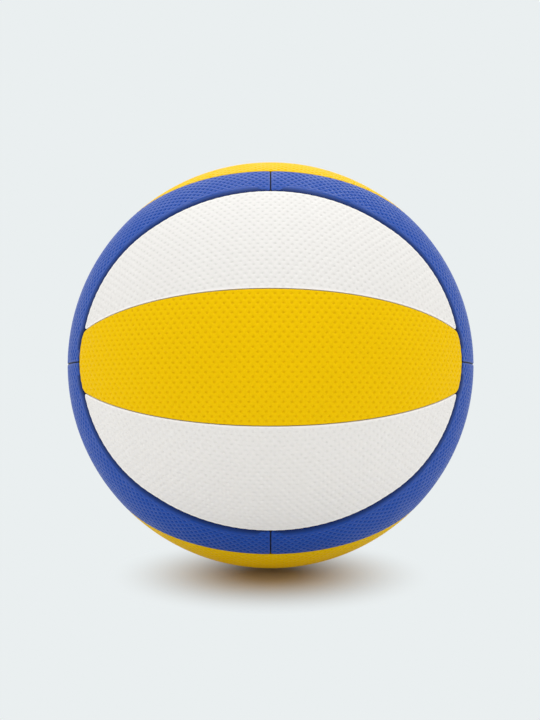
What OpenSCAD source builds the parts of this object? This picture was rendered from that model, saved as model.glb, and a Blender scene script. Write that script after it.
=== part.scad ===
// Stitched beach volleyball of ten curved panels, with its bladder, valve and linings.
// The ball's centre is the origin, +Z is up and the pictured face looks toward -Y.
// Angles on the ball are seen from its centre. A panel pattern is drawn upright and
// then rolled back, as the ball lies.

/* [Ball] */
// Outside diameter of the inflated ball
ball_d = 213.3; // [210:0.1:216]
// Angle by which the panel pattern lies rolled back
roll_back = 12; // [0:1:40]
// Width of the joint between two panels at the surface
seam_gap = 0.3; // [0.2:0.05:0.6]

/* [Front and back faces] */
// Angle from the face's middle to the top of its outline
face_half_height = 52; // [49:0.5:55]
// Angle from the face's middle to the side of its outline
face_half_width = 63.4; // [61:0.1:64]
// Angle by which the long arcs' circles are wider than the side of a face
long_arc_clear = 8.6; // [5.6:0.1:12.6]
// Angle by which each end arc swells past the long arcs
end_swell = 0.3; // [0.2:0.1:0.8]
// Half the angle between the two edges of the yellow band
band_half_height = 18; // [15:0.5:20]
// Angle by which the yellow band's ends stand out past the side of a face
band_end_step = 1.7; // [-0.3:0.1:2.7]
// Half-angle of the cone that draws the yellow band's round end
band_end_arc = 20.1; // [19:0.1:21]

/* [Leaf panels] */
// Half the angle across the middle of a leaf panel
leaf_half_width = 24.5; // [22:0.5:27]
// Half-angle of the cones that draw the leaf's two sides
leaf_arc = 55.7; // [52:0.1:60]

/* [Skin] */
// Thickness of a panel's leather
skin_t = 1.6; // [1.2:0.1:2]
// Depth of the turned-in edge below the leather
flange_depth = 2.4; // [2.2:0.1:3]
// Thickness of the turned-in edge
flange_t = 1.2; // [0.8:0.1:1.6]
// Thickness of the cloth and foam lining behind a panel
lining_t = 1.8; // [1:0.1:2]
// Clearance around the edge of a lining
lining_clear = 0.3; // [0.1:0.05:0.6]
// Thickness of a layer of glue
glue_t = 0.1; // [0.05:0.05:0.15]

/* [Seam thread] */
// Diameter of the seam thread
thread_d = 0.8; // [0.5:0.05:1]
// Clearance around the seam thread
thread_clear = 0.1; // [0.05:0.05:0.2]

/* [Bladder] */
// Wall of the rubber bladder
bladder_t = 0.7; // [0.5:0.05:1.2]
// Diameter of the balance patch inside the bladder
balance_d = 30; // [20:1:50]
// Thickness of the balance patch
balance_t = 0.8; // [0.5:0.1:2]

/* [Valve] */
// Diameter of the hole in the panel
panel_hole_d = 9; // [8.8:0.1:10]
// Outside diameter of the ring behind the panel's hole
eyelet_d = 20; // [14:1:26]
// Thickness of the ring behind the panel's hole
eyelet_t = 1; // [0.5:0.1:1.5]
// Outside diameter of the valve's neck
neck_d = 8.4; // [8:0.1:8.6]
// Depth of the neck's mouth below the ball's surface
neck_recess = 0.4; // [0.2:0.1:1]
// Outside diameter of the valve's bonded disc
disc_d = 26; // [20:1:34]
// Thickness of the valve's bonded disc
disc_t = 1.2; // [0.8:0.1:1.2]
// Outside diameter of the valve's stem inside the bladder
stem_d = 11; // [9:0.5:14]
// Length of the valve's stem inside the bladder
stem_length = 14; // [12:0.5:20]
// Diameter of the valve's bore
valve_bore_d = 5.6; // [5:0.1:6]
// Radial clearance between the plug and the bore
plug_clear = 0.05; // [0.02:0.01:0.08]
// Diameter of the plug's head
plug_head_d = 7; // [6.6:0.1:7.2]
// Thickness of the plug's head
plug_head_t = 1; // [0.6:0.1:1.5]
// Length of the plug's shank
plug_length = 15; // [12:0.5:17]
// Diameter of the guide bore for the inflating needle
needle_bore_d = 2.1; // [2.05:0.05:2.3]
// Length of the guide bore for the inflating needle
needle_bore_length = 8; // [6:0.5:10]
// Diameter of the funnel that leads the needle in
funnel_d = 3.6; // [3:0.1:5]
// Depth of the funnel that leads the needle in
funnel_depth = 0.8; // [0.4:0.1:1.2]
// Width of the slit that closes behind the needle
slit_w = 0.2; // [0.1:0.05:0.3]
// Breadth of the slit, across the plug
slit_breadth = 3; // [2:0.1:4]

/* [Hidden] */

white = "#f2f0ec";
yellow = "#efbf08";
blue = "#4f6bb8";
cloth = "#e6e2d6";
thread_colour = "#20283c";
butyl = "#23252a";
rubber = "#3a3d42";

$fn = 120;
// Facets around the seam thread
thread_fn = 24;
ball_r = ball_d / 2;
// Overrun of every cutting shape past what it cuts, as a share of the radius
overrun_share = 0.02;
overrun = ball_r * overrun_share;
// Half the size of the blocks that cut along a plane, as a share of the radius
block_share = 1.2;
block = ball_r * block_share;

// Radii of the layers, from the surface inward
skin_inner_r = ball_r - skin_t;
flange_tip_r = skin_inner_r - flange_depth;
lining_outer_r = skin_inner_r - glue_t;
lining_inner_r = lining_outer_r - lining_t;
thread_r = flange_tip_r - thread_clear - thread_d / 2;
bladder_outer_r = thread_r - thread_d / 2 - thread_clear;
bladder_inner_r = bladder_outer_r - bladder_t;

// Distances from a seam's middle line to the edges of the pieces beside it
skin_edge = seam_gap / 2;
pocket_edge = skin_edge + flange_t;
lining_edge = pocket_edge + lining_clear;

// Half-angle of the cone that draws the long arcs above and below
long_arc = face_half_width + long_arc_clear;
// Angle from the middle of a face to the centre of the yellow band's round end
band_end_place = face_half_width + band_end_step - band_end_arc;
// Tilt of the long arcs' centres away from the middle of the face
long_arc_tilt = long_arc - face_half_height;
// The end arc that would just touch the long arcs, before it swells
touching_reach = face_half_width - end_swell;
end_arc_place = atan(
    (cos(long_arc - touching_reach) - cos(long_arc_tilt)) / sin(long_arc - touching_reach)
);
end_arc = touching_reach - end_arc_place + end_swell;
// Angle to the plane through the touching points, where the end arcs take over
centre_span = acos(cos(long_arc_tilt) * cos(end_arc_place));
takeover = atan2(
    sin(end_arc_place) * sin(long_arc),
    cos(end_arc_place) * sin(long_arc) + cos(long_arc_tilt) * sin(centre_span - long_arc)
);
leaf_tilt = leaf_arc - leaf_half_width;

// Bearings of the middles of the two faces in the upright pattern
front = -90;
rear = 90;

// Places of the valve's parts along its axis, measured from the ball's centre
valve_top = ball_r - neck_recess;
disc_inner_r = bladder_outer_r + glue_t;
stem_end = disc_inner_r - stem_length;
head_seat = valve_top - plug_head_t;
plug_end = head_seat - plug_length;
guide_end = valve_top - needle_bore_length;
shank_d = valve_bore_d - 2 * plug_clear;
head_pocket_d = plug_head_d + 2 * plug_clear;
lining_hole_d = max(eyelet_d, disc_d) + 2 * lining_clear;
bladder_hole_d = stem_d + 2 * glue_t;

function angle_of(length) = length / ball_r * 180 / PI;
function direction(bearing, height) =
    [cos(height) * cos(bearing), cos(height) * sin(bearing), sin(height)];

// Turn about a circle's axis at which the circle meets a second circle. The first
// circle's axis has a bearing and a height, and so has the second one's. The side
// is 1 or -1 and picks one of the two meeting points.
function meeting(bearing, height, half_angle, bearing2, height2, half_angle2, side) =
    let (
        axis2 = direction(bearing2, height2),
        across = axis2 * direction(bearing, height - 90),
        along = axis2 * [-sin(bearing), cos(bearing), 0],
        ahead = axis2 * direction(bearing, height),
        share = (cos(half_angle2) - cos(half_angle) * ahead)
            / (sin(half_angle) * norm([across, along]))
    )
    atan2(along, across) + side * acos(share);

// Turns the Z axis toward a direction given by its bearing and height
module toward(bearing, height) {
    rotate([0, 90 - height, bearing]) children();
}

// Lays the upright pattern back, as the ball lies
module rolled() {
    rotate([-roll_back, 0, 0]) children();
}

// Turns the front of the pattern to the back, and its upper half to the lower
module placed(back = false, lower = false) {
    rolled()
        rotate([0, lower ? 180 : 0, back ? 180 : 0])
            children();
}

// A copy for the left and the right side
module both_sides() {
    children();
    mirror([1, 0, 0]) children();
}

// A copy for the upper and the lower half
module both_levels() {
    children();
    mirror([0, 0, 1]) children();
}

// Everything on the far side of a plane square to a direction
module beyond(bearing, height, distance) {
    toward(bearing, height)
        translate([-block, -block, distance])
            cube([2 * block, 2 * block, block]);
}

// A cone from the ball's centre whose edge draws a circle on the surface
module cone(bearing, height, half_angle) {
    cone_h = ball_r + overrun;
    toward(bearing, height)
        cylinder(h = cone_h, r1 = 0, r2 = cone_h * tan(half_angle));
}

module shell(inner_r, outer_r) {
    difference() {
        sphere(r = outer_r);
        sphere(r = inner_r);
    }
}

// Oval outline of a face, drawn in by edge or drawn out by a negative edge
module face_oval(inner_r, outer_r, edge) {
    in = angle_of(edge);
    intersection() {
        shell(inner_r, outer_r);
        cone(front, -long_arc_tilt, long_arc - in);
        cone(front, long_arc_tilt, long_arc - in);
        beyond(front + 90 - takeover, 0, 0);
        beyond(front - 90 + takeover, 0, 0);
    }
    for (side = [-1, 1])
        intersection() {
            shell(inner_r, outer_r);
            cone(front + side * end_arc_place, 0, end_arc - in);
        }
}

// The yellow band that crosses a face, with its round ends
module face_band(inner_r, outer_r, edge) {
    in = angle_of(edge);
    intersection() {
        shell(inner_r, outer_r);
        beyond(front, band_half_height - 90, edge);
        beyond(front, 90 - band_half_height, edge);
        beyond(front + 90 - band_end_place, 0, 0);
        beyond(front - 90 + band_end_place, 0, 0);
    }
    for (side = [-1, 1])
        intersection() {
            shell(inner_r, outer_r);
            beyond(front, band_half_height - 90, edge);
            beyond(front, 90 - band_half_height, edge);
            cone(front + side * band_end_place, 0, band_end_arc - in);
        }
}

// The white part of a face above its yellow band
module face_cap(inner_r, outer_r, edge) {
    intersection() {
        face_oval(inner_r, outer_r, edge);
        beyond(rear, 90 - band_half_height, edge);
    }
}

// The yellow leaf between the two faces
module leaf(inner_r, outer_r, edge) {
    intersection() {
        shell(inner_r, outer_r);
        cone(front, 90 - leaf_tilt, leaf_arc - angle_of(edge));
        cone(rear, 90 - leaf_tilt, leaf_arc - angle_of(edge));
    }
}

// The blue ring around the leaf, slit open at the front
module blue_ring(inner_r, outer_r, edge) {
    low_r = inner_r - overrun;
    high_r = outer_r + overrun;
    difference() {
        intersection() {
            shell(inner_r, outer_r);
            beyond(front, 90, edge);
        }
        for (turn = [0, 180])
            rotate([0, 0, turn]) {
                face_oval(low_r, high_r, -edge);
                face_band(low_r, high_r, -edge);
            }
        leaf(low_r, high_r, -edge);
        translate([-edge, -block, 0])
            cube([2 * edge, block, block]);
    }
}

// A part of the pattern by its name, between two radii and drawn in by edge
module region(name, inner_r, outer_r, edge) {
    if (name == "cap")
        face_cap(inner_r, outer_r, edge);
    if (name == "band")
        face_band(inner_r, outer_r, edge);
    if (name == "leaf")
        leaf(inner_r, outer_r, edge);
    if (name == "ring")
        blue_ring(inner_r, outer_r, edge);
}

// A leather panel with its edge turned in all round
module skin(name) {
    difference() {
        region(name, flange_tip_r, ball_r, skin_edge);
        region(name, flange_tip_r - overrun, skin_inner_r, pocket_edge);
    }
}

// The cloth and foam lining that fills a panel inside its turned-in edge
module lining(name) {
    region(name, lining_inner_r, lining_outer_r, lining_edge);
}

// A round hole or rod along the valve, between two distances from the ball's centre
module along_valve(from, to, diameter) {
    rolled()
        toward(rear, 0)
            translate([0, 0, from])
                cylinder(h = to - from, d = diameter);
}

// A length of seam thread along a circle, between two turns about its axis. Its ends
// stop short, so that it is clear of the threads that it meets.
module thread_arc(bearing, height, half_angle, from, to) {
    ring_r = thread_r * sin(half_angle);
    short = thread_d / ring_r * 180 / PI;
    toward(bearing, height)
        rotate([0, 0, from + short])
            rotate_extrude(angle = to - from - 2 * short)
                translate([ring_r, thread_r * cos(half_angle)])
                    circle(d = thread_d, $fn = thread_fn);
}

module white_panel(back, lower) {
    color(white)
        placed(back, lower)
            skin("cap");
}

module front_band_panel() {
    color(yellow)
        placed()
            skin("band");
}

// The yellow band that has the valve in its middle
module back_band_panel() {
    color(yellow)
        difference() {
            placed(back = true)
                skin("band");
            along_valve(flange_tip_r, ball_r + overrun, panel_hole_d);
        }
}

module leaf_panel(lower) {
    color(yellow)
        placed(lower = lower)
            skin("leaf");
}

module blue_panel(lower) {
    color(blue)
        placed(lower = lower)
            skin("ring");
}

module white_lining(back, lower) {
    color(cloth)
        placed(back, lower)
            lining("cap");
}

module front_band_lining() {
    color(cloth)
        placed()
            lining("band");
}

// The lining that is cut out round the valve's disc
module back_band_lining() {
    color(cloth)
        difference() {
            placed(back = true)
                lining("band");
            along_valve(flange_tip_r, skin_inner_r, lining_hole_d);
        }
}

module leaf_lining(lower) {
    color(cloth)
        placed(lower = lower)
            lining("leaf");
}

module blue_lining(lower) {
    color(cloth)
        placed(lower = lower)
            lining("ring");
}

// Thread along the oval outline of a face and round the ends of its band
module outline_thread(back) {
    side_bearing = front + end_arc_place;
    end_bearing = front + band_end_place;
    long_start = meeting(front, -long_arc_tilt, long_arc, side_bearing, 0, end_arc, 1);
    side_end = 360 + meeting(side_bearing, 0, end_arc, front, -long_arc_tilt, long_arc, -1);
    side_start = meeting(side_bearing, 0, end_arc, rear, 90 - band_half_height, 90, -1);
    end_start = meeting(end_bearing, 0, band_end_arc, rear, band_half_height - 90, 90, 1);
    color(thread_colour)
        placed(back) {
            both_levels() {
                thread_arc(front, -long_arc_tilt, long_arc, long_start, 360 - long_start);
                both_sides()
                    thread_arc(side_bearing, 0, end_arc, side_start, side_end);
            }
            both_sides()
                thread_arc(end_bearing, 0, band_end_arc, end_start, 180 - end_start);
        }
}

// Thread along the two straight edges of a face's band
module band_thread(back) {
    side_bearing = front + end_arc_place;
    band_end = 360 + meeting(rear, 90 - band_half_height, 90, side_bearing, 0, end_arc, 1);
    color(thread_colour)
        placed(back)
            both_levels()
                thread_arc(rear, 90 - band_half_height, 90, 360 - band_end, band_end);
}

module leaf_thread(lower) {
    tip = meeting(front, 90 - leaf_tilt, leaf_arc, rear, 90 - leaf_tilt, leaf_arc, -1);
    color(thread_colour)
        placed(lower = lower)
            for (bearing = [front, rear])
                thread_arc(bearing, 90 - leaf_tilt, leaf_arc, tip, 360 - tip);
}

// Thread between the two blue panels, at each side of the ball
module side_seam_thread() {
    half_seam = 90 - band_end_place - band_end_arc;
    color(thread_colour)
        rolled()
            both_sides()
                thread_arc(0, 90, 90, -half_seam, half_seam);
}

// Thread that closes each blue panel's slit, above and below the front face
module slit_seam_thread() {
    color(thread_colour)
        rolled()
            both_levels()
                thread_arc(0, 0, 90, 180 + leaf_half_width, 270 - face_half_height);
}

module bladder() {
    color(butyl)
        difference() {
            shell(bladder_inner_r, bladder_outer_r);
            along_valve(bladder_inner_r - overrun, ball_r, bladder_hole_d);
        }
}

// Rubber patch inside the bladder that balances the valve's weight
module balance_patch() {
    patch_outer_r = bladder_inner_r - glue_t;
    color(butyl)
        intersection() {
            shell(patch_outer_r - balance_t, patch_outer_r);
            rolled()
                toward(front, 0)
                    cylinder(h = ball_r, d = balance_d);
        }
}

// Ring glued behind the leather round the valve's hole
module valve_eyelet() {
    color(rubber)
        difference() {
            intersection() {
                shell(lining_outer_r - eyelet_t, lining_outer_r);
                along_valve(flange_tip_r - overrun, ball_r, eyelet_d);
            }
            along_valve(flange_tip_r - overrun, ball_r, panel_hole_d);
        }
}

// Moulded body of the valve, bonded round the hole in the bladder
module valve_seat() {
    color(rubber)
        difference() {
            union() {
                intersection() {
                    shell(disc_inner_r, disc_inner_r + disc_t);
                    along_valve(bladder_inner_r, ball_r, disc_d);
                }
                along_valve(stem_end, disc_inner_r + disc_t / 2, stem_d);
                along_valve(disc_inner_r, valve_top, neck_d);
            }
            along_valve(stem_end - overrun, ball_r, valve_bore_d);
            along_valve(head_seat - plug_clear, ball_r, head_pocket_d);
        }
}

// Soft plug in the valve, with a guide bore and a slit for the needle
module valve_plug() {
    color(butyl)
        difference() {
            union() {
                along_valve(head_seat, valve_top, plug_head_d);
                along_valve(plug_end, head_seat + plug_head_t / 2, shank_d);
            }
            along_valve(guide_end, ball_r, needle_bore_d);
            rolled()
                toward(rear, 0) {
                    translate([0, 0, valve_top - funnel_depth])
                        cylinder(h = funnel_depth, d1 = needle_bore_d, d2 = funnel_d);
                    translate([-slit_breadth / 2, -slit_w / 2, plug_end - overrun])
                        cube([slit_breadth, slit_w, guide_end - plug_end + 2 * overrun]);
                }
        }
}

white_panel(false, false);  // front_upper_white_panel
front_band_panel();  // front_yellow_panel
white_panel(false, true);  // front_lower_white_panel
white_panel(true, false);  // back_upper_white_panel
back_band_panel();  // back_yellow_panel
white_panel(true, true);  // back_lower_white_panel
leaf_panel(false);  // top_yellow_panel
leaf_panel(true);  // bottom_yellow_panel
blue_panel(false);  // upper_blue_panel
blue_panel(true);  // lower_blue_panel
white_lining(false, false);  // front_upper_white_lining
front_band_lining();  // front_yellow_lining
white_lining(false, true);  // front_lower_white_lining
white_lining(true, false);  // back_upper_white_lining
back_band_lining();  // back_yellow_lining
white_lining(true, true);  // back_lower_white_lining
leaf_lining(false);  // top_yellow_lining
leaf_lining(true);  // bottom_yellow_lining
blue_lining(false);  // upper_blue_lining
blue_lining(true);  // lower_blue_lining
outline_thread(false);  // front_outline_thread
outline_thread(true);  // back_outline_thread
band_thread(false);  // front_band_thread
band_thread(true);  // back_band_thread
leaf_thread(false);  // top_leaf_thread
leaf_thread(true);  // bottom_leaf_thread
side_seam_thread();
slit_seam_thread();
bladder();
balance_patch();
valve_eyelet();
valve_seat();
valve_plug();
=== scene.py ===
import math

import bpy
import numpy as np
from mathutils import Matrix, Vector
from mathutils.geometry import delaunay_2d_cdt
from mathutils.kdtree import KDTree

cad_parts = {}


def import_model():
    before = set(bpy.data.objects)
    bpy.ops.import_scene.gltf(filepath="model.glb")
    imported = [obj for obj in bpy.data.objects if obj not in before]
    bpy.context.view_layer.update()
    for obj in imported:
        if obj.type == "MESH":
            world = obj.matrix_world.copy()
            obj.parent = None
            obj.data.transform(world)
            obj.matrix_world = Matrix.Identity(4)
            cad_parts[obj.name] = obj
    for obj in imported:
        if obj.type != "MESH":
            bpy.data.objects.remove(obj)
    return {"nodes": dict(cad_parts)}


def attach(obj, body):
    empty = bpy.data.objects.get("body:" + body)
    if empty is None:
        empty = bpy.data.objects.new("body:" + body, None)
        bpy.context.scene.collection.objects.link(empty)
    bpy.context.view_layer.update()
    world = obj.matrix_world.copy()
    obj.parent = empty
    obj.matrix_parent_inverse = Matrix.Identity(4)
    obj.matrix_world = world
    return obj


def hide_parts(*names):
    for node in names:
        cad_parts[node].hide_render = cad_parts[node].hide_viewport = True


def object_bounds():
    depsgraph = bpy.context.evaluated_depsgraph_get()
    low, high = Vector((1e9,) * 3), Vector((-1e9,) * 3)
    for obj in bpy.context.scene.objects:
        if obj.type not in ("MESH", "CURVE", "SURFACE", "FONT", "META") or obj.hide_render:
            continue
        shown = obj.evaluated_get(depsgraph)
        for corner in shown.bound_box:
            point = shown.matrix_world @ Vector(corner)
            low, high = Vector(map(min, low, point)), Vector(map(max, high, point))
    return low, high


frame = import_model()
cad_low, cad_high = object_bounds()

# Looks of a stitched volleyball. The panel pattern is worked out upright, with the
# pictured face toward -Y, and rolled back as the ball lies. Angles are in degrees,
# lengths in metres, and all distances run along the ball's surface.

MM = 0.001
BALL_R = (cad_high.x - cad_low.x) / 2
# A distance so long that no seam and no dimple is near
FAR = BALL_R

# Panel pattern, as the part has it
ROLL_BACK = 12
FRONT = -90
REAR = 90
# How far a face reaches up and to the side
FACE_TOP = 52
FACE_SIDE = 63.4
# Size of a face's two long arcs, and how far its round ends swell past touching them
LONG_ARC = 72
END_SWELL = 0.3
# Half the height of a yellow band, and the size and the place of its round ends
BAND_EDGE = 18
BAND_END_ARC = 20.1
BAND_END_PLACE = 45
# How high the middle of a white cap lies, and how far a yellow leaf reaches across
CAP_MIDDLE = 35
LEAF_SIDE = 24.5
LEAF_ARC = 55.7
SEAM_GAP = 0.3 * MM
CORNER_R = 2.1 * MM

# Leather, its turned-in edge (the flange) and its rolled edge
SKIN_T = 1.6 * MM
FLANGE_SINK = 4 * MM
FLANGE_T = 1.2 * MM
ROLL_W = 0.8 * MM
ROLL_DROP = 0.6 * MM
CAP_ROLL_W = 0.4 * MM
HOLE_R = 4.5 * MM
HOLE_ROLL_W = 0.6 * MM
# Beside the faces the blue panels bulge, and roll down over a wider edge
WIDE_ROLL_W = 4.2 * MM
WIDE_ROLL_DROP = 1.0 * MM
WIDE_ROLL_START = 5 * MM
# Where the rolled edge gets its lines of points, as angles from its top down to the rim
ROLL_ANGLES = (90, 72, 54, 36, 18, 0)
STITCH_PITCH = 4.2 * MM
PUCKER = 0.1 * MM
PUCKER_REACH = 5 * MM

# Dimples, which lie in rows
DIMPLE_STEP = 4.19 * MM
DIMPLE_ROW = 2.38 * MM
DIMPLE_R = 1.05 * MM
# How many times longer a dimple is along its row than across it
DIMPLE_STRETCH = 1.3
DIMPLE_DEPTH = {"white": 0.55 * MM, "yellow": 0.66 * MM, "blue": 0.52 * MM}
# Dimples reach full depth at this many widths of the rolled edge from the rim
DIMPLE_FADE = 1.9
# Rings of points round each dimple: half their height, and how many points
FINE_RINGS = ((0.36 * MM, 8), (0.71 * MM, 10), (1.07 * MM, 12))
PLAIN_RINGS = ((0.37 * MM, 6), (0.73 * MM, 8), (1.07 * MM, 9))
# How clear those points stay of the rolled edge, and how far apart the underside's lie
DIMPLE_CLEAR = 0.25 * MM
LINER_STEP = 8 * MM

# The walk round a panel's outline: its steps, the halvings that find its start, the least
# count of steps, how near its start it ends, and the cosine of one step's sharpest turn
SEAM_PITCH = 0.55 * MM
START_HALVINGS = 40
LEAST_STEPS = 12
END_WITHIN = 0.8 * SEAM_PITCH
SHARPEST_TURN = 0.6


def sine(angle):
    return math.sin(math.radians(angle))


def cosine(angle):
    return math.cos(math.radians(angle))


# The long arcs' tilt, and the round ends that all but touch them. The ends take over
# from the arcs at the bearing where the two touch
LONG_TILT = LONG_ARC - FACE_TOP
TOUCHING_REACH = FACE_SIDE - END_SWELL
ARC_SURPLUS = LONG_ARC - TOUCHING_REACH
END_PLACE = math.degrees(
    math.atan((cosine(ARC_SURPLUS) - cosine(LONG_TILT)) / sine(ARC_SURPLUS))
)
END_ARC = TOUCHING_REACH - END_PLACE + END_SWELL
CENTRE_SPAN = math.degrees(math.acos(cosine(LONG_TILT) * cosine(END_PLACE)))
TAKEOVER = math.degrees(
    math.atan2(
        sine(END_PLACE) * sine(LONG_ARC),
        cosine(END_PLACE) * sine(LONG_ARC) + cosine(LONG_TILT) * sine(CENTRE_SPAN - LONG_ARC),
    )
)
LEAF_TILT = LEAF_ARC - LEAF_SIDE


def direction(bearing, height):
    """Place on a ball of size 1, by its bearing and its height above the middle."""
    level = cosine(height)
    return np.array([level * cosine(bearing), level * sine(bearing), sine(height)])


def unit(p):
    return p / np.linalg.norm(p, axis=-1, keepdims=True)


def inside_circle(p, bearing, height, half_angle):
    """How far each point lies inside a circle on the ball."""
    ahead = np.clip(p @ direction(bearing, height), -1, 1)
    return BALL_R * (math.radians(half_angle) - np.arccos(ahead))


def past_plane(p, bearing, height):
    """How far each point lies past a plane through the ball's centre."""
    return BALL_R * np.arcsin(np.clip(p @ direction(bearing, height), -1, 1))


def both(a, b):
    """Distance inside two outlines at once, with the corners rounded."""
    short_a = np.maximum(CORNER_R - a, 0)
    short_b = np.maximum(CORNER_R - b, 0)
    return np.maximum(CORNER_R, np.minimum(a, b)) - np.hypot(short_a, short_b)


def either(a, b):
    """Distance inside at least one of two outlines, rounded in the same way."""
    return -both(-a, -b)


def right_half(p):
    """Points brought over to the right, for outlines that are alike on both sides."""
    return np.stack([np.abs(p[:, 0]), p[:, 1], p[:, 2]], axis=1)


def half_turned(p):
    return p * np.array([-1, -1, 1])


def turn_from_front(p):
    return np.degrees(np.arctan2(p[:, 0], -p[:, 1]))


# Panels and seams as distances: positive inside, zero in the middle of the seam


def face_oval(p):
    """The white panels and the middle of the yellow band, as one long oval."""
    q = right_half(p)
    lens = np.minimum(
        inside_circle(q, FRONT, -LONG_TILT, LONG_ARC),
        inside_circle(q, FRONT, LONG_TILT, LONG_ARC),
    )
    end = inside_circle(q, FRONT + END_PLACE, 0, END_ARC)
    return np.where(turn_from_front(q) < TAKEOVER, np.maximum(lens, end), end)


def yellow_band(p):
    """A strip of even height with round ends."""
    q = right_half(p)
    strip = np.minimum(
        past_plane(q, FRONT, BAND_EDGE - 90),
        past_plane(q, FRONT, 90 - BAND_EDGE),
    )
    end = inside_circle(q, FRONT + BAND_END_PLACE, 0, BAND_END_ARC)
    return both(strip, np.where(turn_from_front(q) < BAND_END_PLACE, FAR, end))


def valve_band(p):
    """The yellow band with the valve's hole, which has no seam round it."""
    around_hole = HOLE_R + inside_circle(p, FRONT, 0, 0)
    return np.minimum(yellow_band(p), -around_hole + SEAM_GAP / 2)


def white_cap(p):
    """What of a face lies above its yellow band."""
    return both(face_oval(p), past_plane(p, REAR, 90 - BAND_EDGE))


def yellow_leaf(p):
    """Two arcs that meet in a tip on either side."""
    return both(
        inside_circle(p, FRONT, 90 - LEAF_TILT, LEAF_ARC),
        inside_circle(p, REAR, 90 - LEAF_TILT, LEAF_ARC),
    )


def off_face(p):
    """How far each point lies outside the front face."""
    return -either(face_oval(p), yellow_band(p))


def off_slit(p):
    """How far each point lies from the slit seam, which only the front has."""
    return np.where(p[:, 1] < 0, BALL_R * np.arcsin(np.abs(p[:, 0])), FAR)


def blue_ring(p):
    """What both faces and the leaf leave of the upper half."""
    faces = both(off_face(p), off_face(half_turned(p)))
    return both(both(faces, -yellow_leaf(p)), both(past_plane(p, 0, 90), off_slit(p)))


def eased(x):
    x = np.clip(x, 0, 1)
    return x * x * (3 - 2 * x)


def even_roll(width):
    """A rolled edge that is equally wide everywhere."""
    def width_at(p):
        return np.full(len(p), width)
    return width_at


def blue_roll(p):
    """Wide along the faces, narrow along the leaf, the side seams and the slit."""
    to_face = np.minimum(off_face(p), off_face(half_turned(p)))
    to_rest = np.minimum(np.minimum(-yellow_leaf(p), past_plane(p, 0, 90)), off_slit(p))
    return ROLL_W + (WIDE_ROLL_W - ROLL_W) * eased((to_rest - to_face) / WIDE_ROLL_START)


def slope(field, p):
    """Direction in which a field grows along the surface."""
    reach = 1e-5
    # Any direction does, as long as no seam passes through it
    aside = np.array([0.3, 0.5, 0.81])
    across = unit(np.cross(p, aside))
    along = np.cross(p, across)
    found = np.zeros_like(p)
    for way in (across, along):
        rise = field(unit(p + way * reach)) - field(unit(p - way * reach))
        found += way * (rise / (2 * reach * BALL_R))[:, None]
    return found


def shifted(p, way, length):
    return unit(p + way * (length / BALL_R))


def settled(field, p, level, rounds=3):
    """Moves points onto the line where a field has a level."""
    # Below this slope, squared, as at rounded corners, the steps would grow too long
    flattest = 0.25
    for _ in range(rounds):
        way = slope(field, p)
        steep = np.maximum((way * way).sum(axis=1), flattest)
        p = shifted(p, way, ((level - field(p)) / steep)[:, None])
    return p


def outline(field, inside, outside):
    """Evenly spaced points round a panel, with the panel on their left, and how long the
    way round is."""
    low, high = inside, outside
    for _ in range(START_HALVINGS):
        middle = unit(low + high)
        if field(middle[None])[0] > 0:
            low = middle
        else:
            high = middle
    walk = [low]
    way = slope(field, low[None])
    while len(walk) < LEAST_STEPS or np.linalg.norm(walk[-1] - walk[0]) * BALL_R > END_WITHIN:
        here = walk[-1][None]
        ahead = unit(np.cross(way, here))
        stride = SEAM_PITCH
        turned = -1.0
        while turned < SHARPEST_TURN:
            there = settled(field, shifted(here, ahead, stride), 0, rounds=1)
            next_way = slope(field, there)
            turned = (next_way[0] @ way[0]) / (np.linalg.norm(next_way) * np.linalg.norm(way))
            stride /= 2
        walk.append(there[0])
        way = next_way
    walk = np.array(walk + [walk[0]])
    length = np.concatenate([[0], np.cumsum(np.linalg.norm(np.diff(walk, axis=0), axis=1))])
    count = round(length[-1] * BALL_R / SEAM_PITCH)
    wanted = np.arange(count) / count * length[-1]
    even = np.stack([np.interp(wanted, length, walk[:, k]) for k in range(3)], axis=1)
    return settled(field, unit(even), 0), length[-1] * BALL_R


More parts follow.
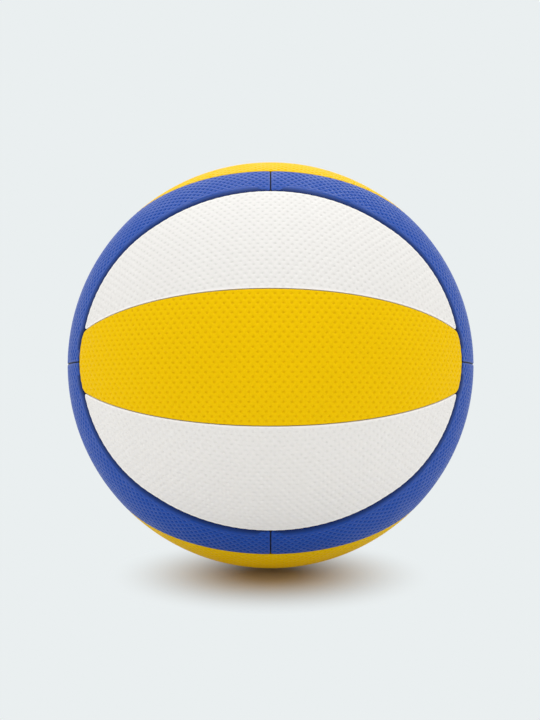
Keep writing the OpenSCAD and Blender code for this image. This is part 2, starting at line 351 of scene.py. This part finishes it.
class Lattice:
    """Rows of dimples in a panel's own directions: its middle, along and across."""

    def __init__(self, middle, across):
        self.middle = middle
        self.across = across
        self.along = np.cross(across, middle)

    def laid_flat(self, p):
        turn = np.arctan2(p @ self.along, p @ self.middle)
        rise = np.arcsin(np.clip(p @ self.across, -1, 1))
        return BALL_R * np.stack([turn, rise], axis=1)

    def laid_round(self, flat):
        turn, rise = flat[:, 0] / BALL_R, flat[:, 1] / BALL_R
        level = np.cos(rise)
        return (
            np.outer(level * np.cos(turn), self.middle)
            + np.outer(level * np.sin(turn), self.along)
            + np.outer(np.sin(rise), self.across)
        )

    def to_dimple(self, p):
        """Distance from each point to the middle of its dimple, counted shorter along the
        row by as much as a dimple is stretched."""
        flat = self.laid_flat(p)
        row = np.round(flat[:, 1] / DIMPLE_ROW)
        steps = flat[:, 0] / DIMPLE_STEP - (row % 2) / 2
        aside = (steps - np.round(steps)) * DIMPLE_STEP * np.cos(flat[:, 1] / BALL_R)
        return np.hypot(aside / DIMPLE_STRETCH, flat[:, 1] - row * DIMPLE_ROW)

    def points(self, around, rings):
        """Flat places of the points that draw each dimple, as far as `around` spans."""
        low, high = around.min(axis=0), around.max(axis=0)
        spots = []
        for row in range(math.floor(low[1] / DIMPLE_ROW), math.ceil(high[1] / DIMPLE_ROW) + 1):
            v = row * DIMPLE_ROW
            # The ball draws a row together, the further it is from the middle one
            squeeze = math.cos(v / BALL_R)
            first = math.floor(low[0] / DIMPLE_STEP) - 1
            last = math.ceil(high[0] / DIMPLE_STEP) + 1
            u = (np.arange(first, last) + (row % 2) / 2) * DIMPLE_STEP
            spots.append(np.stack([u, np.full_like(u, v)], axis=1))
            spots.append(np.stack([u + DIMPLE_STEP / 2, np.full_like(u, v)], axis=1))
            for distance, count in rings:
                for k in range(count):
                    angle = 2 * math.pi * (k + 0.5) / count
                    du = distance * DIMPLE_STRETCH * math.cos(angle) / squeeze
                    dv = distance * math.sin(angle)
                    spots.append(np.stack([u + du, np.full_like(u, v + dv)], axis=1))
        return np.concatenate(spots)


def triangles(flat, loops):
    """Delaunay triangles over flat points, held to closed loops of point numbers."""
    edges = []
    for loop in loops:
        edges += [(loop[k - 1], loop[k]) for k in range(len(loop))]
    coordinates = [Vector(place) for place in (flat / MM).tolist()]
    same_place = 1e-6
    result = delaunay_2d_cdt(coordinates, edges, [], 0, same_place, True)
    first = [ids[0] if ids else -1 for ids in result[3]]
    faces = np.array([[first[v] for v in face] for face in result[2]])
    faces = faces[(faces >= 0).all(axis=1)]
    a, b, c = (flat[faces[:, k]] for k in range(3))
    turned = (b[:, 0] - a[:, 0]) * (c[:, 1] - a[:, 1]) < (b[:, 1] - a[:, 1]) * (c[:, 0] - a[:, 0])
    faces[turned] = faces[turned][:, ::-1]
    return faces


class Sheet:
    """Points and faces of one panel, with what the leather depends on at each point: how
    deep it is sunk, how far the rim is, its place along the stitching, the width of the
    rolled edge, whether it is on the outside, and how far the middle of its dimple is."""

    def __init__(self):
        self.p = []
        self.facts = {title: [] for title in ("sink", "edge", "stitch", "roll", "outer", "pit")}
        self.faces = []
        self.count = 0

    def add(self, p, **facts):
        """Adds points and returns their numbers."""
        start = self.count
        self.p.append(p)
        for title, value in facts.items():
            self.facts[title].append(np.ones(len(p)) * value)
        self.count += len(p)
        return np.arange(start, self.count)

    def places(self):
        return np.concatenate(self.p)

    def fact(self, title):
        return np.concatenate(self.facts[title])

    def strip(self, upper, lower):
        """Joins two loops of equal length."""
        for k in range(len(upper)):
            self.faces.append((lower[k - 1], lower[k], upper[k], upper[k - 1]))

    def fill(self, lattice, edge_of, loops, extra, downward):
        """Spreads triangles over loops and extra points, as far as the panel goes."""
        # A triangle stays if its middle is further inside the panel than this share of what
        # the loops are. Those that bridge the rim's hollows, or its hole, are not
        inside_share = 0.6
        rounding = 1e-9
        every = np.concatenate([*loops, extra])
        p = self.places()[every]
        closed, start = [], 0
        for loop in loops:
            closed.append(list(range(start, start + len(loop))))
            start += len(loop)
        faces = triangles(lattice.laid_flat(p), closed)
        level = inside_share * min(self.fact("edge")[loop].min() for loop in loops)
        faces = faces[edge_of(unit(p[faces].mean(axis=1))) > level + rounding]
        if downward:
            faces = faces[:, ::-1]
        self.faces += [tuple(face) for face in every[faces].tolist()]


def nearest_stitch(p, edge, rim, rim_stitch):
    """Place along the stitching of the rim point nearest to each point near the seam."""
    tree = KDTree(len(rim))
    for k, place in enumerate(rim):
        tree.insert(place, k)
    tree.balance()
    found = np.zeros(len(p))
    for k in np.nonzero(edge < PUCKER_REACH)[0]:
        found[k] = rim_stitch[tree.find(p[k])[1]]
    return found


def add_rim(sheet, edge_of, lattice, inside, outside, roll_width, turned_in):
    """Adds a rim from the top of its rolled edge down to the underside. Returns the top
    and the bottom loop, the rim's points and their places along the stitching."""
    rim, length = outline(edge_of, inside, outside)
    roll = roll_width(rim)
    stitches = round(length / STITCH_PITCH)
    stitch = np.arange(len(rim)) / len(rim) * stitches
    way = unit(slope(edge_of, rim))
    loops = []
    for angle in ROLL_ANGLES:
        inset = roll * (1 - cosine(angle))
        p = shifted(rim, way, inset[:, None])
        pit = lattice.to_dimple(p)
        loops.append(sheet.add(p, sink=0, edge=inset, stitch=stitch, roll=roll, outer=1, pit=pit))
    hidden = {"stitch": stitch, "roll": roll, "outer": 0, "pit": FAR}
    if turned_in:
        inner = shifted(rim, way, FLANGE_T)
        loops.append(sheet.add(rim, sink=FLANGE_SINK, edge=0, **hidden))
        loops.append(sheet.add(inner, sink=FLANGE_SINK, edge=FLANGE_T, **hidden))
        loops.append(sheet.add(inner, sink=SKIN_T, edge=FLANGE_T, **hidden))
    else:
        loops.append(sheet.add(rim, sink=SKIN_T, edge=0, **hidden))
    for upper, lower in zip(loops, loops[1:]):
        sheet.strip(upper, lower)
    return loops[0], loops[-1], rim, stitch


def panel_sheet(field, lattice, rims, rings):
    """One panel's leather: dimpled sheet, rolled edge, turned-in edge and underside."""
    sheet = Sheet()
    roll_width = rims[0][2]

    def edge_of(p):
        return field(p) - SEAM_GAP / 2

    made = [add_rim(sheet, edge_of, lattice, *facts) for facts in rims]
    tops, bottoms, borders, border_stitches = zip(*made)
    around = lattice.laid_flat(sheet.places()[np.concatenate(tops)])

    inner = lattice.laid_round(lattice.points(around, rings))
    edge, roll = edge_of(inner), roll_width(inner)
    clear = edge > roll + DIMPLE_CLEAR
    inner, edge, roll = inner[clear], edge[clear], roll[clear]
    stitch = nearest_stitch(inner, edge, np.concatenate(borders), np.concatenate(border_stitches))
    pit = lattice.to_dimple(inner)
    dimples = sheet.add(inner, sink=0, edge=edge, stitch=stitch, roll=roll, outer=1, pit=pit)
    sheet.fill(lattice, edge_of, tops, dimples, downward=False)

    low, high = around.min(axis=0), around.max(axis=0)
    along, across = np.meshgrid(*(np.arange(low[k], high[k], LINER_STEP) for k in (0, 1)))
    under = lattice.laid_round(np.stack([along.ravel(), across.ravel()], axis=1))
    under = under[edge_of(under) > LINER_STEP / 2]
    liner = sheet.add(under, sink=SKIN_T, edge=FAR, stitch=0, roll=ROLL_W, outer=0, pit=FAR)
    sheet.fill(lattice, edge_of, bottoms, liner, downward=True)
    return sheet


LEVEL = Lattice(direction(FRONT, 0), direction(0, 90))
TILTED = Lattice(direction(FRONT, CAP_MIDDLE), direction(REAR, 90 - CAP_MIDDLE))
TOPPING = Lattice(direction(0, 90), direction(REAR, 0))

# Each rim: a place inside the panel, one across the rim, the width of the rolled edge,
# and whether the edge is turned in
CAP_RIM = (direction(FRONT, CAP_MIDDLE), direction(FRONT, 65), even_roll(CAP_ROLL_W), True)
BAND_RIM = (direction(FRONT, 6), direction(FRONT, 30), even_roll(ROLL_W), True)
HOLE_RIM = (direction(FRONT, 6), direction(FRONT, 0), even_roll(HOLE_ROLL_W), False)
LEAF_RIM = (direction(0, 90), direction(FRONT, 50), even_roll(ROLL_W), True)
RING_RIM = (direction(0, 20), direction(0, -20), blue_roll, True)

# Each kind of panel: its outline, its lattice, its rims, and its dimples' rings of points
KINDS = {
    "cap": (white_cap, TILTED, [CAP_RIM], FINE_RINGS),
    "band": (yellow_band, LEVEL, [BAND_RIM], FINE_RINGS),
    "valve band": (valve_band, LEVEL, [BAND_RIM, HOLE_RIM], FINE_RINGS),
    "leaf": (yellow_leaf, TOPPING, [LEAF_RIM], FINE_RINGS),
    "ring": (blue_ring, TOPPING, [RING_RIM], PLAIN_RINGS),
}

# Each panel: its kind, whether it is at the back, whether it is below, its leather
PANELS = {
    "front_upper_white": ("cap", False, False, "white"),
    "front_yellow": ("band", False, False, "yellow"),
    "front_lower_white": ("cap", False, True, "white"),
    "back_upper_white": ("cap", True, False, "white"),
    "back_yellow": ("valve band", True, False, "yellow"),
    "back_lower_white": ("cap", True, True, "white"),
    "top_yellow": ("leaf", False, False, "yellow"),
    "bottom_yellow": ("leaf", False, True, "yellow"),
    "upper_blue": ("ring", False, False, "blue"),
    "lower_blue": ("ring", False, True, "blue"),
}


def add(tree, kind, **settings):
    made = tree.nodes.new(kind)
    for name, value in settings.items():
        setattr(made, name, value)
    return made


def feed(tree, socket, value):
    """Gives a socket a number, a colour or a link."""
    if isinstance(value, bpy.types.NodeSocket):
        tree.links.new(value, socket)
    else:
        socket.default_value = value


def calc(tree, operation, *values, clamp=False):
    made = add(tree, "ShaderNodeMath", operation=operation, use_clamp=clamp)
    for socket, value in zip(made.inputs, values):
        feed(tree, socket, value)
    return made.outputs[0]


def ramp(tree, value, low, high, start=0.0, end=1.0):
    """Smooth change from start to end while a value goes from low to high."""
    made = add(tree, "ShaderNodeMapRange", interpolation_type="SMOOTHSTEP")
    for name, given in (
        ("Value", value), ("From Min", low), ("From Max", high), ("To Min", start), ("To Max", end),
    ):
        feed(tree, made.inputs[name], given)
    return made.outputs["Result"]


def leather_shape():
    """Geometry tree that presses the dimples, rolls the edges and draws in the stitches."""
    tree = bpy.data.node_groups.new("dimpled leather", "GeometryNodeTree")
    sockets = tree.interface
    sockets.new_socket("Geometry", in_out="INPUT", socket_type="NodeSocketGeometry")
    for name in ("Dimple Radius", "Dimple Depth", "Roll Depth", "Pucker", "Pucker Reach"):
        sockets.new_socket(name, in_out="INPUT", socket_type="NodeSocketFloat")
    sockets.new_socket("Leather", in_out="INPUT", socket_type="NodeSocketMaterial")
    sockets.new_socket("Geometry", in_out="OUTPUT", socket_type="NodeSocketGeometry")
    given = add(tree, "NodeGroupInput").outputs

    def column(name):
        made = add(tree, "GeometryNodeInputNamedAttribute", data_type="FLOAT")
        made.inputs["Name"].default_value = name
        return made.outputs["Attribute"]

    edge, roll = column("edge"), column("roll")
    reach = calc(tree, "DIVIDE", column("pit"), given["Dimple Radius"], clamp=True)
    swing = calc(tree, "COSINE", calc(tree, "MULTIPLY", reach, math.pi))
    bowl = calc(tree, "MULTIPLY_ADD", swing, 0.5, 0.5)
    fade = ramp(tree, edge, roll, calc(tree, "MULTIPLY", roll, DIMPLE_FADE))
    dimple = calc(tree, "MULTIPLY", calc(tree, "MULTIPLY", bowl, given["Dimple Depth"]), fade)

    # The rolled edge is a quarter of an oval. A wide one is deeper, a very narrow one less so
    short = calc(tree, "SUBTRACT", 1.0, calc(tree, "DIVIDE", edge, roll, clamp=True))
    round_edge = calc(tree, "SUBTRACT", 1.0, calc(tree, "MULTIPLY", short, short), clamp=True)
    drop = calc(tree, "SUBTRACT", 1.0, calc(tree, "SQRT", round_edge))
    narrow = calc(tree, "DIVIDE", roll, ROLL_W, clamp=True)
    deepest = ramp(tree, roll, ROLL_W, WIDE_ROLL_W, given["Roll Depth"], WIDE_ROLL_DROP)
    depth = calc(tree, "MULTIPLY", deepest, calc(tree, "MULTIPLY", narrow, narrow))
    rolled = calc(tree, "MULTIPLY", drop, depth)

    wave = calc(tree, "COSINE", calc(tree, "MULTIPLY", column("stitch"), 2 * math.pi))
    near = ramp(tree, edge, 0.0, given["Pucker Reach"], 1.0, 0.0)
    near = calc(tree, "MULTIPLY", near, near)
    pucker = calc(tree, "MULTIPLY", calc(tree, "MULTIPLY_ADD", wave, 0.5, 0.5), given["Pucker"])
    drawn = calc(tree, "MULTIPLY", pucker, near)

    pressed = calc(tree, "ADD", calc(tree, "ADD", dimple, rolled), drawn)
    inward = calc(tree, "MULTIPLY", calc(tree, "MULTIPLY", pressed, column("outer")), -1.0)
    place = add(tree, "GeometryNodeInputPosition").outputs[0]
    outward = add(tree, "ShaderNodeVectorMath", operation="NORMALIZE")
    feed(tree, outward.inputs[0], place)
    move = add(tree, "ShaderNodeVectorMath", operation="SCALE")
    feed(tree, move.inputs[0], outward.outputs[0])
    feed(tree, move.inputs["Scale"], inward)
    pushed = add(tree, "GeometryNodeSetPosition")
    feed(tree, pushed.inputs["Geometry"], given["Geometry"])
    feed(tree, pushed.inputs["Offset"], move.outputs[0])
    smoothed = add(tree, "GeometryNodeSetShadeSmooth")
    feed(tree, smoothed.inputs["Geometry"], pushed.outputs[0])
    whole = add(tree, "GeometryNodeRealizeInstances")
    feed(tree, whole.inputs["Geometry"], smoothed.outputs[0])
    dressed = add(tree, "GeometryNodeSetMaterial")
    feed(tree, dressed.inputs["Geometry"], whole.outputs[0])
    feed(tree, dressed.inputs["Material"], given["Leather"])
    feed(tree, add(tree, "NodeGroupOutput").inputs["Geometry"], dressed.outputs[0])
    return tree


def make_by_nodes(obj, tree, values):
    """Runs a geometry tree on an object and keeps the result as its plain mesh."""
    modifier = obj.modifiers.new(tree.name, "NODES")
    modifier.node_group = tree
    sockets = tree.interface.items_tree
    names = {item.name: item.identifier for item in sockets if item.in_out == "INPUT"}
    for name, value in values.items():
        modifier[names[name]] = value
    shown = obj.evaluated_get(bpy.context.evaluated_depsgraph_get())
    mesh = bpy.data.meshes.new_from_object(shown)
    obj.modifiers.remove(modifier)
    obj.data = mesh


def object_of(name, points, faces):
    mesh = bpy.data.meshes.new(name)
    mesh.from_pydata(points, [], faces)
    obj = bpy.data.objects.new(name, mesh)
    bpy.context.scene.collection.objects.link(obj)
    return obj


def laid(p, back, below):
    """Turns the pattern to the back or the lower half, and rolls it as the ball lies."""
    if below:
        p = p * np.array([-1, 1, -1])
    if back:
        p = half_turned(p)
    y = p[:, 1] * cosine(ROLL_BACK) + p[:, 2] * sine(ROLL_BACK)
    z = p[:, 2] * cosine(ROLL_BACK) - p[:, 1] * sine(ROLL_BACK)
    return np.stack([p[:, 0], y, z], axis=1)


def panel(name, sheet, back, below, finish, dimple_depth, tree):
    """Lays a sheet where the panel belongs, shapes it, and puts it in its solid's place."""
    p = laid(sheet.places(), back, below)
    obj = object_of(f"{name}_leather", p * (BALL_R - sheet.fact("sink"))[:, None], sheet.faces)
    for title in ("edge", "stitch", "roll", "outer", "pit"):
        column = obj.data.attributes.new(title, "FLOAT", "POINT")
        column.data.foreach_set("value", sheet.fact(title))
    make_by_nodes(obj, tree, {
        "Dimple Radius": DIMPLE_R, "Dimple Depth": dimple_depth, "Roll Depth": ROLL_DROP,
        "Pucker": PUCKER, "Pucker Reach": PUCKER_REACH, "Leather": finish,
    })
    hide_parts(f"{name}_panel")
    return obj


def finish_named(name):
    """A new material with its principled shader, and Object coordinates to paint it by."""
    made = bpy.data.materials.new(name)
    made.use_nodes = True
    tree = made.node_tree
    shader = tree.nodes["Principled BSDF"]
    place = add(tree, "ShaderNodeTexCoord").outputs["Object"]
    return made, tree, shader, place


def noise(tree, place, size, detail=2.0):
    made = add(tree, "ShaderNodeTexNoise")
    feed(tree, made.inputs["Vector"], place)
    made.inputs["Scale"].default_value = 1 / size
    made.inputs["Detail"].default_value = detail
    return made.outputs["Fac"]


def tint(tree, fac, low, high):
    """A colour between two colours. A mix node's colours are its sockets 6, 7 and 2."""
    made = add(tree, "ShaderNodeMix", data_type="RGBA")
    feed(tree, made.inputs["Factor"], fac)
    for socket, colour in ((made.inputs[6], low), (made.inputs[7], high)):
        feed(tree, socket, colour if isinstance(colour, bpy.types.NodeSocket) else (*colour, 1))
    return made.outputs[2]


def bump(tree, shader, height, distance):
    made = add(tree, "ShaderNodeBump")
    made.inputs["Distance"].default_value = distance
    feed(tree, made.inputs["Height"], height)
    feed(tree, shader.inputs["Normal"], made.outputs["Normal"])


def attribute(tree, name):
    return add(tree, "ShaderNodeAttribute", attribute_name=name).outputs["Fac"]


def shade(colour, factor):
    return tuple(channel * factor for channel in colour)


# Leather's finish: faint clouds and their shade, the painted shade of the dimples (between two
# shares of their size), the painted shading beside a rim (from a share of the roll's width), the
# line on the rim, partly painted light (between two such shares), patches of roughness, grain and
# sheen
CLOUD_SIZE = 30 * MM
CLOUD_SHADE = 0.965
PAINTED_PIT_SHADE_SPAN = (0.1, 0.85)
PAINTED_RIM_SHADE_START = 0.1
RIM_LINE_SPAN = (0.05, 0.22)
ROUGH_PATCH = 9 * MM
ROUGHNESS = (0.44, 0.54)
GRAIN_SIZE = 0.35 * MM
GRAIN_DEPTH = 0.02 * MM
SHEEN_ROUGHNESS = 0.3


def leather(name, colour, painted_pit_shade, rim, painted_rim_shading, rim_times, rim_plus, gloss, sheen):
    """Soft coated leather: fine grain, faint clouds, painted shade in the dimples, and a stitched
    rim with painted shading beside it and a line on it that is partly painted light.
    """
    made, tree, shader, place = finish_named(name)
    clouds = noise(tree, place, CLOUD_SIZE, 3.0)
    clouded = tint(tree, clouds, shade(colour, CLOUD_SHADE), colour)
    # Painted shade: each dimple's colour darkens towards its middle, as shade falls in its hollow
    reach = calc(tree, "DIVIDE", attribute(tree, "pit"), DIMPLE_R, clamp=True)
    pit = ramp(tree, reach, *PAINTED_PIT_SHADE_SPAN, 1.0, 0.0)
    dimpled = tint(tree, pit, clouded, shade(colour, painted_pit_shade))
    # Painted shading beside the rim, as light falls on the rolled edge: painted shade on the yellow
    # and the blue, a painted highlight on the white
    edge, roll = attribute(tree, "edge"), attribute(tree, "roll")
    start = calc(tree, "MULTIPLY", roll, PAINTED_RIM_SHADE_START)
    end = calc(tree, "MULTIPLY_ADD", roll, rim_times, rim_plus)
    beside = ramp(tree, edge, start, end, 1.0, 0.0)
    painted_near_rim = tint(tree, beside, dimpled, shade(colour, painted_rim_shading))
    # The line at the foot of the rolled edge: painted shade of the seam's groove on the yellow and
    # the blue, partly their edges' own dark tone, and a painted highlight on the white
    line = ramp(tree, calc(tree, "DIVIDE", edge, roll), *RIM_LINE_SPAN, 1.0, 0.0)
    feed(tree, shader.inputs["Base Color"], tint(tree, line, painted_near_rim, rim))
    patches = ramp(tree, noise(tree, place, ROUGH_PATCH), 0.3, 0.7, *ROUGHNESS)
    feed(tree, shader.inputs["Roughness"], patches)
    shader.inputs["Specular IOR Level"].default_value = gloss
    shader.inputs["Sheen Weight"].default_value = sheen
    shader.inputs["Sheen Roughness"].default_value = SHEEN_ROUGHNESS
    bump(tree, shader, noise(tree, place, GRAIN_SIZE), GRAIN_DEPTH)
    return made


def lining_cloth():
    """Plain weave, as waves that cross."""
    made, tree, shader, place = finish_named("lining_cloth")
    parts = add(tree, "ShaderNodeSeparateXYZ")
    feed(tree, parts.inputs[0], place)
    pitch = 2 * math.pi / (0.8 * MM)
    x, y, z = (calc(tree, "SINE", calc(tree, "MULTIPLY", part, pitch)) for part in parts.outputs)
    weave = calc(tree, "ADD", calc(tree, "MULTIPLY", x, y), z)
    fac = ramp(tree, weave, -1.5, 1.5)
    cloth = tint(tree, fac, (0.52, 0.49, 0.42), (0.78, 0.76, 0.69))
    feed(tree, shader.inputs["Base Color"], cloth)
    shader.inputs["Roughness"].default_value = 0.9
    bump(tree, shader, fac, 0.1 * MM)
    return made


def seam_thread():
    """Dark twisted thread."""
    made, tree, shader, place = finish_named("seam_thread")
    twist = add(tree, "ShaderNodeTexWave", bands_direction="DIAGONAL")
    feed(tree, twist.inputs["Vector"], place)
    twist.inputs["Scale"].default_value = 1 / (1.2 * MM)
    twist.inputs["Distortion"].default_value = 1.5
    fac = twist.outputs["Fac"]
    yarn = tint(tree, fac, (0.008, 0.012, 0.03), (0.03, 0.04, 0.08))
    feed(tree, shader.inputs["Base Color"], yarn)
    shader.inputs["Roughness"].default_value = 0.6
    bump(tree, shader, fac, 0.08 * MM)
    return made


def rubber(name, colour, roughness):
    """Moulded rubber with a dusty bloom and a fine moulded skin."""
    made, tree, shader, place = finish_named(name)
    bloom = ramp(tree, noise(tree, place, 7 * MM, 4.0), 0.35, 0.75)
    feed(tree, shader.inputs["Base Color"], tint(tree, bloom, colour, shade(colour, 1.7)))
    feed(tree, shader.inputs["Roughness"], ramp(tree, bloom, 0.0, 1.0, roughness, roughness + 0.15))
    bump(tree, shader, noise(tree, place, 0.5 * MM), 0.03 * MM)
    return made


# Each leather: its colour, the painted shade of its dimples, the colour of the line on its rim,
# the painted shading beside that line and how far it reaches from the rim (so many widths of the
# rolled edge, plus a length), and its gloss and sheen. Shades are parts of the colour. The rim's
# line is painted shade of the seam's groove on the yellow and the blue, partly their edges' own
# dark tone, and a painted highlight on the white. The shading beside it is painted shade on the
# yellow and the blue, and a painted highlight on the white
LEATHERS = {
    "white_leather": {
        "colour": (0.845, 0.832, 0.808), "painted_pit_shade": 0.975, "rim": (0.95, 0.95, 0.95),
        "painted_rim_shading": 1.13, "rim_times": 3.5, "rim_plus": 0, "gloss": 0.12, "sheen": 0.0,
    },
    "yellow_leather": {
        "colour": (0.9, 0.568, 0.0003), "painted_pit_shade": 0.91, "rim": (0.3, 0.16, 0.01),
        "painted_rim_shading": 0.95, "rim_times": 1.4, "rim_plus": 0, "gloss": 0.04, "sheen": 0.0,
    },
    "blue_leather": {
        "colour": (0.01, 0.07, 0.395), "painted_pit_shade": 0.6, "rim": (0.003, 0.006, 0.028),
        "painted_rim_shading": 0.28, "rim_times": 1.6, "rim_plus": -0.9 * MM, "gloss": 0.12, "sheen": 0.18,
    },
}
finishes = {
    **{name: leather(name, **facts) for name, facts in LEATHERS.items()},
    "lining_cloth": lining_cloth(),
    "seam_thread": seam_thread(),
    "bladder_rubber": rubber("bladder_rubber", (0.016, 0.017, 0.019), 0.45),
    "valve_rubber": rubber("valve_rubber", (0.03, 0.031, 0.034), 0.5),
    "plug_rubber": rubber("plug_rubber", (0.012, 0.012, 0.013), 0.4),
}

shape = leather_shape()
sheets = {kind: panel_sheet(*facts) for kind, facts in KINDS.items()}
for name, (kind, back, below, colour) in PANELS.items():
    finish = finishes[f"{colour}_leather"]
    obj = panel(name, sheets[kind], back, below, finish, DIMPLE_DEPTH[colour], shape)
    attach(obj, "ball")

# The CAD pieces that stay: the ends of their names, and their finishes
KEPT = {
    "_lining": "lining_cloth", "_thread": "seam_thread", "bladder": "bladder_rubber",
    "balance_patch": "bladder_rubber", "valve_eyelet": "valve_rubber",
    "valve_seat": "valve_rubber", "valve_plug": "plug_rubber",
}
for name, obj in frame["nodes"].items():
    for ending, title in KEPT.items():
        if name.endswith(ending):
            obj.data.materials.clear()
            obj.data.materials.append(finishes[title])

# Floor, light and camera
BACKGROUND = (0.823, 0.863, 0.871)
LIGHT = (1.0, 0.995, 0.985)
AMBIENT = 0.625
FLOOR_HALF = 6.0
# The floor as it is seen, a dark warm brown round the ball that is painted shadow with painted
# warm light from the yellow panel, and as it throws light back up at the ball
FLOOR_SEEN_PAINTED_SHADOW = (0.475, 0.395, 0.29)
FLOOR_BOUNCE = (0.86, 0.86, 0.86)
# The oval pool of painted shadow on the floor, where the real shadow falls too, and the
# shares of its reach where it starts and stops to fade into the background
POOL_Y = -0.25 * BALL_R
POOL_HALF_WIDTH = 0.8 * BALL_R
POOL_HALF_DEPTH = 0.68 * BALL_R
FADE_FROM = 0.1
FADE_TO = 1.0
# Softboxes: place, width, height, power, and whether the leather's gloss mirrors them
SOFTBOXES = {
    "overhead": ((0, 0.2, 1.4), 1.0, 1.0, 7.7, True),
    "left": ((-1.4, -0.75, 0.55), 0.9, 1.2, 5.8, False),
    "right": ((1.4, -0.75, 0.55), 0.9, 1.2, 5.8, False),
    "front": ((0, -1.9, 0.8), 1.4, 1.0, 1.1, False),
    "rear": ((0, 1.3, 1.0), 1.4, 0.6, 7.0, True),
}
# The camera's distance from what it looks at, its height in degrees, and its lens
CAMERA_AIM = (-0.3 * MM, 0, 2.8 * MM)
CAMERA_DISTANCE = 9.4 * BALL_R
CAMERA_HEIGHT = 9.67
CAMERA_LENS = 94.9
CAMERA_SENSOR = 36


def seen_as_background(tree):
    """One for rays that show the background as it is written."""
    path = add(tree, "ShaderNodeLightPath").outputs
    seen = calc(tree, "MAXIMUM", path["Is Camera Ray"], path["Is Glossy Ray"])
    return calc(tree, "MAXIMUM", seen, path["Is Transmission Ray"])


def floor():
    """Pale floor with a painted shadow round the ball, dark and warm, on which the real shadow also
    falls; it fades into the background.
    """
    z = -BALL_R
    corners = [(x * FLOOR_HALF, y * FLOOR_HALF, z) for x, y in ((-1, -1), (1, -1), (1, 1), (-1, 1))]
    obj = object_of("floor", corners, [(0, 1, 2, 3)])
    made, tree, shader, place = finish_named("pale_floor_painted_shadow")
    # Painted shadow: the camera and gloss see the floor in the pool as a dark warm brown, with
    # painted warm light from the yellow panel
    bounce_and_painted_shadow = tint(tree, seen_as_background(tree), FLOOR_BOUNCE, FLOOR_SEEN_PAINTED_SHADOW)
    feed(tree, shader.inputs["Base Color"], bounce_and_painted_shadow)
    shader.inputs["Roughness"].default_value = 0.9
    shader.inputs["Specular IOR Level"].default_value = 0.0
    pool = add(tree, "ShaderNodeMapping", vector_type="TEXTURE")
    feed(tree, pool.inputs["Vector"], place)
    pool.inputs["Location"].default_value = (0, POOL_Y, z)
    pool.inputs["Scale"].default_value = (POOL_HALF_WIDTH, POOL_HALF_DEPTH, 1)
    length = add(tree, "ShaderNodeVectorMath", operation="LENGTH")
    feed(tree, length.inputs[0], pool.outputs[0])
    far = ramp(tree, length.outputs["Value"], FADE_FROM, FADE_TO)
    flat = add(tree, "ShaderNodeEmission")
    flat.inputs["Color"].default_value = (*BACKGROUND, 1)
    mix = add(tree, "ShaderNodeMixShader")
    feed(tree, mix.inputs[0], calc(tree, "MULTIPLY", far, seen_as_background(tree)))
    feed(tree, mix.inputs[1], shader.outputs[0])
    feed(tree, mix.inputs[2], flat.outputs[0])
    feed(tree, tree.nodes["Material Output"].inputs["Surface"], mix.outputs[0])
    obj.data.materials.append(made)


def world():
    """Soft light from all round, which the camera sees as the background."""
    made = bpy.data.worlds.new("studio")
    bpy.context.scene.world = made
    made.use_nodes = True
    tree = made.node_tree
    soft = tree.nodes["Background"]
    soft.inputs["Color"].default_value = (*LIGHT, 1)
    soft.inputs["Strength"].default_value = AMBIENT
    flat = add(tree, "ShaderNodeBackground")
    flat.inputs["Color"].default_value = (*BACKGROUND, 1)
    mix = add(tree, "ShaderNodeMixShader")
    feed(tree, mix.inputs[0], seen_as_background(tree))
    feed(tree, mix.inputs[1], soft.outputs[0])
    feed(tree, mix.inputs[2], flat.outputs[0])
    feed(tree, tree.nodes["World Output"].inputs["Surface"], mix.outputs[0])


def softbox(name, place, width, height, power, mirrored):
    """An area lamp that faces the ball's middle."""
    light = bpy.data.lights.new(name, "AREA")
    light.shape = "RECTANGLE"
    light.size = width
    light.size_y = height
    light.energy = power
    obj = bpy.data.objects.new(name, light)
    bpy.context.scene.collection.objects.link(obj)
    obj.location = place
    obj.rotation_mode = "QUATERNION"
    obj.rotation_quaternion = (Vector((0, 0, 0)) - Vector(place)).to_track_quat("-Z", "Y")
    obj.visible_camera = False
    obj.visible_glossy = mirrored


def camera():
    """The photograph's view, slightly above the ball."""
    data = bpy.data.cameras.new("camera")
    data.sensor_width = CAMERA_SENSOR
    data.lens = CAMERA_LENS
    obj = bpy.data.objects.new("camera", data)
    bpy.context.scene.collection.objects.link(obj)
    back = Vector((0, -cosine(CAMERA_HEIGHT), sine(CAMERA_HEIGHT)))
    obj.location = Vector(CAMERA_AIM) + back * CAMERA_DISTANCE
    obj.rotation_mode = "QUATERNION"
    obj.rotation_quaternion = (-back).to_track_quat("-Z", "Y")
    bpy.context.scene.camera = obj


floor()
world()
for title, facts in SOFTBOXES.items():
    softbox(f"{title}_softbox", *facts)
camera()
bpy.context.scene.view_settings.view_transform = "Standard"
